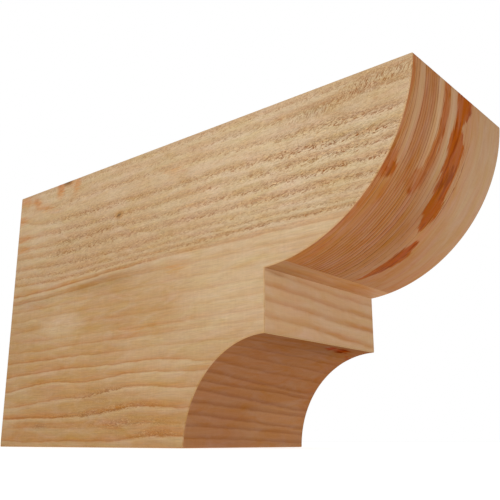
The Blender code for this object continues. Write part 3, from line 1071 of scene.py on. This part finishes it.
@dataclass
class Timber:
    """The one solid timber: its mesh, relief, figure and finishes."""

    profile: TailProfile = field(default_factory=TailProfile)
    arris: float = 0.8 * MM
    arris_segments: int = 2
    nose_steps: int = 48
    cove_steps: int = 34
    cell: float = 2.6 * MM
    foot_height: float = 0.70 * INCH
    late_relief: float = 0.08 * MM
    torn_relief: float = 0.11 * MM
    slow_relief: float = 0.15 * MM
    ridge_sharpness: float = 1.6
    torn_cell: tuple[float, float] = (5.0 * MM, 2.7 * MM)
    slow_cell: tuple[float, float] = (70.0 * MM, 22.0 * MM)
    fade: float = 4.0 * MM

    def outline(self, bm: bmesh.types.BMesh) -> bmesh.types.BMFace:
        """Draw the near side as one flat face.

        Args:
            bm: the mesh to draw in.

        Returns:
            The face.
        """
        p = self.profile
        y = -p.width / 2
        tip = bm.verts.new((p.tip_x, y, p.height))
        cx, cz = p.nose_centre
        spin = partial(bmesh.ops.spin, bm, axis=(0, 1, 0))
        nose = spin(geom=[tip], cent=(cx, y, cz), angle=p.nose_sweep, steps=self.nose_steps)
        last = step_to(bm, nose["geom_last"][0], (p.fillet_x, y, p.cove_radius))
        cove = spin(geom=[last], cent=(p.fillet_x, y, 0), angle=-math.pi / 2, steps=self.cove_steps)
        last = step_to(bm, cove["geom_last"][0], (p.back_x, y, 0))
        last = step_to(bm, last, (p.back_x, y, p.height))
        bm.edges.new((last, tip))
        return bmesh.ops.contextual_create(bm, geom=bm.edges[:])["faces"][0]

    def solid(self) -> bmesh.types.BMesh:
        """Extrude the outline, ease its arrises and cut its faces into small cells.

        Returns:
            The solid.
        """
        p = self.profile
        bm = bmesh.new()
        grown = bmesh.ops.extrude_face_region(bm, geom=[self.outline(bm)])["geom"]
        moved = [g for g in grown if isinstance(g, bmesh.types.BMVert)]
        bmesh.ops.translate(bm, vec=(0, p.width, 0), verts=moved)
        bmesh.ops.remove_doubles(bm, verts=bm.verts[:], dist=MERGE_DISTANCE)
        bmesh.ops.recalc_face_normals(bm, faces=bm.faces[:])
        sharp = [e for e in bm.edges if e.is_convex and e.calc_face_angle() > ARRIS_ANGLE]
        bmesh.ops.bevel(
            bm, geom=sharp, offset=self.arris, affect="EDGES", segments=self.arris_segments,
            profile=0.5, material=-1, clamp_overlap=True,
        )
        spans = (
            (Vector((0, 1, 0)), -p.width / 2, p.width / 2),
            (Vector((1, 0, 0)), p.back_x, p.tip_x),
            (Vector((0, 0, 1)), 0.0, p.height),
        )
        for normal, low, high in spans:
            cells = round((high - low) / self.cell)
            for i in range(1, cells):
                bmesh.ops.bisect_plane(
                    bm, geom=bm.verts[:] + bm.edges[:] + bm.faces[:], dist=MERGE_DISTANCE,
                    plane_co=normal * (low + (high - low) * i / cells), plane_no=normal,
                )
        bmesh.ops.remove_doubles(bm, verts=bm.verts[:], dist=MERGE_DISTANCE)
        bmesh.ops.recalc_face_normals(bm, faces=bm.faces[:])
        return bm

    def measures(self, co: np.ndarray) -> dict[str, np.ndarray]:
        """Measure places from the timber's ends and rims and down its curves.

        Args:
            co: places, a row of x, y and z for each.

        Returns:
            Distances in metres by name. The gaps are depths in the wood behind the two arcs.
        """
        p = self.profile
        x, y, z = co.T
        cx, cz = p.nose_centre
        nose_start = p.nose_sweep / 2 - math.pi / 4
        nose = (nose_start - np.arctan2(z - cz, x - cx)) * p.nose_radius
        cove = (np.arctan2(z, x - p.fillet_x) - math.pi / 2) * p.cove_radius
        nose_gap = p.nose_radius - np.hypot(x - cx, z - cz)
        cove_gap = np.hypot(x - p.fillet_x, z) - p.cove_radius
        end = np.where(x > p.toe_x, np.abs(cove_gap), z)
        end = np.where(z > p.cove_radius, np.abs(p.fillet_x - x), end)
        end = np.where(x > p.fillet_x, np.abs(nose_gap), end)
        return {
            "from_back": x - p.back_x,
            "to_tip": p.tip_x - x,
            "to_toe": p.toe_x - x,
            "from_fillet": x - p.fillet_x,
            "from_near": y + p.width / 2,
            "to_side": p.width / 2 - np.abs(y),
            "up": z,
            "to_top": p.height - z,
            "down_nose": nose,
            "down_foot": nose - (p.nose_length - self.foot_height),
            "to_nose_end": p.nose_length - nose,
            "nose_gap": nose_gap,
            "down_fillet": p.fillet_top - z,
            "to_fillet_end": z - p.cove_radius,
            "down_cove": cove,
            "to_cove_end": p.cove_radius * math.pi / 2 - cove,
            "cove_gap": cove_gap,
            "to_cut_end": np.minimum(end, np.hypot(x - p.fillet_x, z - p.fillet_top)),
        }

    def sort_faces(self, centres: np.ndarray, normals: np.ndarray) -> np.ndarray:
        """Tell which cut face each small face belongs to.

        Args:
            centres: the small faces' centres.
            normals: their normals.

        Returns:
            A Face value for each.
        """
        at = self.measures(centres)
        flat_x, flat_y, flat_z = (np.abs(normals) > FLATNESS).T
        inside = at["to_side"] > self.arris
        nose = inside & (np.abs(at["nose_gap"]) < OFF_ARC) & (at["down_fillet"] < OFF_FLAT)
        tests = {
            Face.COVE: inside & (np.abs(at["cove_gap"]) < OFF_ARC) & (at["to_fillet_end"] < 0),
            Face.TOP: inside & flat_z & (at["to_top"] < OFF_FLAT),
            Face.UNDERSIDE: inside & flat_z & (at["up"] < OFF_FLAT),
            Face.BACK: inside & flat_x & (at["from_back"] < OFF_FLAT),
            Face.NOSE: nose,
            Face.NOSE_FOOT: nose & (at["down_foot"] > 0),
            Face.FILLET: inside & flat_x & (np.abs(at["from_fillet"]) < OFF_FLAT),
            Face.NEAR_SIDE: flat_y & (centres[:, 1] < 0),
            Face.FAR_SIDE: flat_y & (centres[:, 1] > 0),
        }
        kinds = np.full(len(centres), Face.ARRIS.value)
        for face, here in tests.items():
            kinds[here] = face.value
        return kinds

    def relief(
        self, face: Face, u: np.ndarray, v: np.ndarray, rim: np.ndarray, made: dict[str, np.ndarray]
    ) -> np.ndarray:
        """How far each place stands off the true face, which is nothing at its rims.

        Args:
            face: the cut face.
            u: places along its figure, in metres.
            v: and across it.
            rim: their distances from the nearest rim, in metres.
            made: the figure's fields there.

        Returns:
            Heights in metres, from the face down into the wood where negative.
        """
        offset = made["ring_count"] - np.round(made["ring_count"])
        ridge = np.exp(-((offset * made["ring_fineness"] * self.ridge_sharpness) ** 2))
        late = made["ring_strength"] * ridge
        seed = 100 + face.value
        torn = wander(u, v, *self.torn_cell, seed) * made["torn_grain"] * (0.35 + late)
        slow = wander(u, v, *self.slow_cell, seed + 20)
        height = self.late_relief * (late - 0.5) + self.torn_relief * torn + self.slow_relief * (slow - 0.6)
        return height * smoothstep(0.0, self.fade, rim - self.arris)

    def build(self) -> bpy.types.Object:
        """Make the finished piece.

        Returns:
            Its object, at the origin.
        """
        bm = self.solid()
        mesh = bpy.data.meshes.new("sawn_rafter_tail")
        bm.to_mesh(mesh)
        bm.free()
        kinds = self.sort_faces(read_all(mesh.polygons, "center", 3), read_all(mesh.polygons, "normal", 3))
        corner_kind = np.repeat(kinds, read_all(mesh.polygons, "loop_total", kind=int))
        corner_vert = read_all(mesh.loops, "vertex_index", kind=int)
        places, outward = read_all(mesh.vertices, "co", 3), read_all(mesh.vertices, "normal", 3)

        grain = np.zeros((len(corner_vert), 2))
        fields = {name: np.zeros(len(corner_vert)) for name in FIELDS}
        raised, shares = np.zeros(len(places)), np.zeros(len(places))
        for face, cut in CUTS.items():
            here = np.flatnonzero(corner_kind == face.value)
            at = self.measures(places[corner_vert[here]])
            u, v = at[cut.along], at[cut.across]
            grain[here] = np.column_stack([u + FACE_SPACING * face.value, v])
            made = cut.figure.fields(u / INCH, v / INCH)
            for name, values in made.items():
                fields[name][here] = values
            if cut.rims:
                rim = np.min([at[name] for name in cut.rims], axis=0)
                np.add.at(raised, corner_vert[here], self.relief(face, u, v, rim, made))
            np.add.at(shares, corner_vert[here], 1.0)
            log.info("%s: %d small faces", face.name.lower(), int((kinds == face.value).sum()))
        places = places + outward * (raised / np.maximum(shares, 1.0))[:, None]
        mesh.vertices.foreach_set("co", places.ravel())

        layer = mesh.uv_layers.new(name=GRAIN_MAP)
        layer.data.foreach_set("uv", grain.ravel())
        for name, values in fields.items():
            attribute = mesh.attributes.new(name, "FLOAT", "CORNER")
            attribute.data.foreach_set("value", values.astype(np.float32))
        self.dress(mesh, kinds)
        piece = bpy.data.objects.new("sawn_rafter_tail", mesh)
        bpy.context.scene.collection.objects.link(piece)
        return piece

    def dress(self, mesh: bpy.types.Mesh, kinds: np.ndarray) -> None:
        """Give each cut face its finish and smooth shading.

        Args:
            mesh: the finished mesh.
            kinds: the Face value of each of its faces.
        """
        slots: dict[str, int] = {}
        slot_of = np.zeros(len(Face), int)
        for face, cut in CUTS.items():
            if cut.finish.name not in slots:
                slots[cut.finish.name] = len(mesh.materials)
                mesh.materials.append(cut.finish.material())
            slot_of[face.value] = slots[cut.finish.name]
        mesh.polygons.foreach_set("material_index", slot_of[kinds])
        mesh.polygons.foreach_set("use_smooth", np.ones(len(kinds), bool))
        mesh.update()
        mesh.set_sharp_from_angle(angle=SHARP_ANGLE)


@dataclass(frozen=True)
class Softbox:
    """A square soft light: which way it hangs from the timber, how far, how wide, and its watts."""

    name: str
    towards: tuple[float, float, float]
    distance: float
    size: float
    watts: float


@dataclass(frozen=True)
class Studio:
    """A pale floor, soft light and the camera."""

    floor_half: float = 6.0
    floor_drop: float = 0.3 * MM
    floor_colour: str = "#bab9b7"
    floor_glow: float = 0.78
    sky_strength: float = 0.39
    softboxes: tuple[Softbox, ...] = (
        Softbox("key", (0.22, -0.88, 0.40), 1.8, 1.3, 13.6),
        Softbox("fill", (-0.30, 0.70, 0.65), 2.0, 1.2, 11.0),
    )
    lamp_aim_height: float = 0.12
    camera_place: tuple[float, float, float] = (0.41227, -0.46257, 0.00531)
    camera_tilt: float = 105.2145
    camera_heading: float = 39.988
    camera_lens: float = 50.57

    def lay_floor(self) -> None:
        """Lay the floor just under the timber."""
        bm = bmesh.new()
        bmesh.ops.create_grid(bm, x_segments=1, y_segments=1, size=self.floor_half)
        bmesh.ops.translate(bm, vec=(0, 0, -self.floor_drop), verts=bm.verts[:])
        mesh = bpy.data.meshes.new("floor")
        bm.to_mesh(mesh)
        bm.free()
        # Matt pale paint with a faint glow of its own, so that the floor reads as plain white.
        paint = bpy.data.materials.new("pale_studio_floor")
        paint.use_nodes = True
        paint.node_tree.nodes.clear()
        shader = add_node(
            paint.node_tree, "ShaderNodeBsdfPrincipled",
            {"Base Color": linear(self.floor_colour), "Roughness": 0.9, "Specular IOR Level": 0.0,
             "Emission Color": (1.0, 1.0, 1.0, 1.0), "Emission Strength": self.floor_glow},
        )
        add_node(paint.node_tree, "ShaderNodeOutputMaterial", {"Surface": shader})
        mesh.materials.append(paint)
        floor = bpy.data.objects.new("floor", mesh)
        bpy.context.scene.collection.objects.link(floor)

    def light(self) -> None:
        """Hang the soft lights and light the room evenly, with plain white behind the object."""
        scene = bpy.context.scene
        scene.view_settings.view_transform = "Standard"
        world = bpy.data.worlds.new("studio")
        world.use_nodes = True
        world.node_tree.nodes.clear()
        add = partial(add_node, world.node_tree)
        ray = add("ShaderNodeLightPath").outputs["Is Camera Ray"]
        strength = add("ShaderNodeMapRange", {"Value": ray, "To Min": self.sky_strength, "To Max": 1.0})
        sky = add("ShaderNodeBackground", {"Color": (1.0, 1.0, 1.0, 1.0), "Strength": strength})
        add("ShaderNodeOutputWorld", {"Surface": sky})
        scene.world = world
        for softbox in self.softboxes:
            lamp = bpy.data.lights.new(softbox.name, "AREA")
            lamp.shape, lamp.size, lamp.energy = "SQUARE", softbox.size, softbox.watts
            hung = bpy.data.objects.new(softbox.name, lamp)
            aim = Vector(softbox.towards).normalized()
            hung.location = aim * softbox.distance + Vector((0, 0, self.lamp_aim_height))
            hung.rotation_euler = aim.to_track_quat("Z", "Y").to_euler()
            scene.collection.objects.link(hung)

    def set_camera(self) -> None:
        """Set the camera low by the nose, looking up along the near side."""
        lens = bpy.data.cameras.new("camera")
        lens.lens, lens.clip_start = self.camera_lens, 0.01
        camera = bpy.data.objects.new("camera", lens)
        camera.location = self.camera_place
        camera.rotation_euler = (math.radians(self.camera_tilt), 0.0, math.radians(self.camera_heading))
        bpy.context.scene.collection.objects.link(camera)
        bpy.context.scene.camera = camera


def main() -> None:
    """Build the studio and the timber around the frame."""
    logging.basicConfig(level=logging.INFO, format="%(name)s: %(message)s")
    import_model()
    studio = Studio()
    studio.lay_floor()
    studio.light()
    studio.set_camera()
    log.info("studio is ready")

    piece = Timber().build()
    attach(piece, "root")
    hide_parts("rafter_tail")
    log.info("%s: %d faces", piece.name, len(piece.data.polygons))


if __name__ == "__main__":
    main()
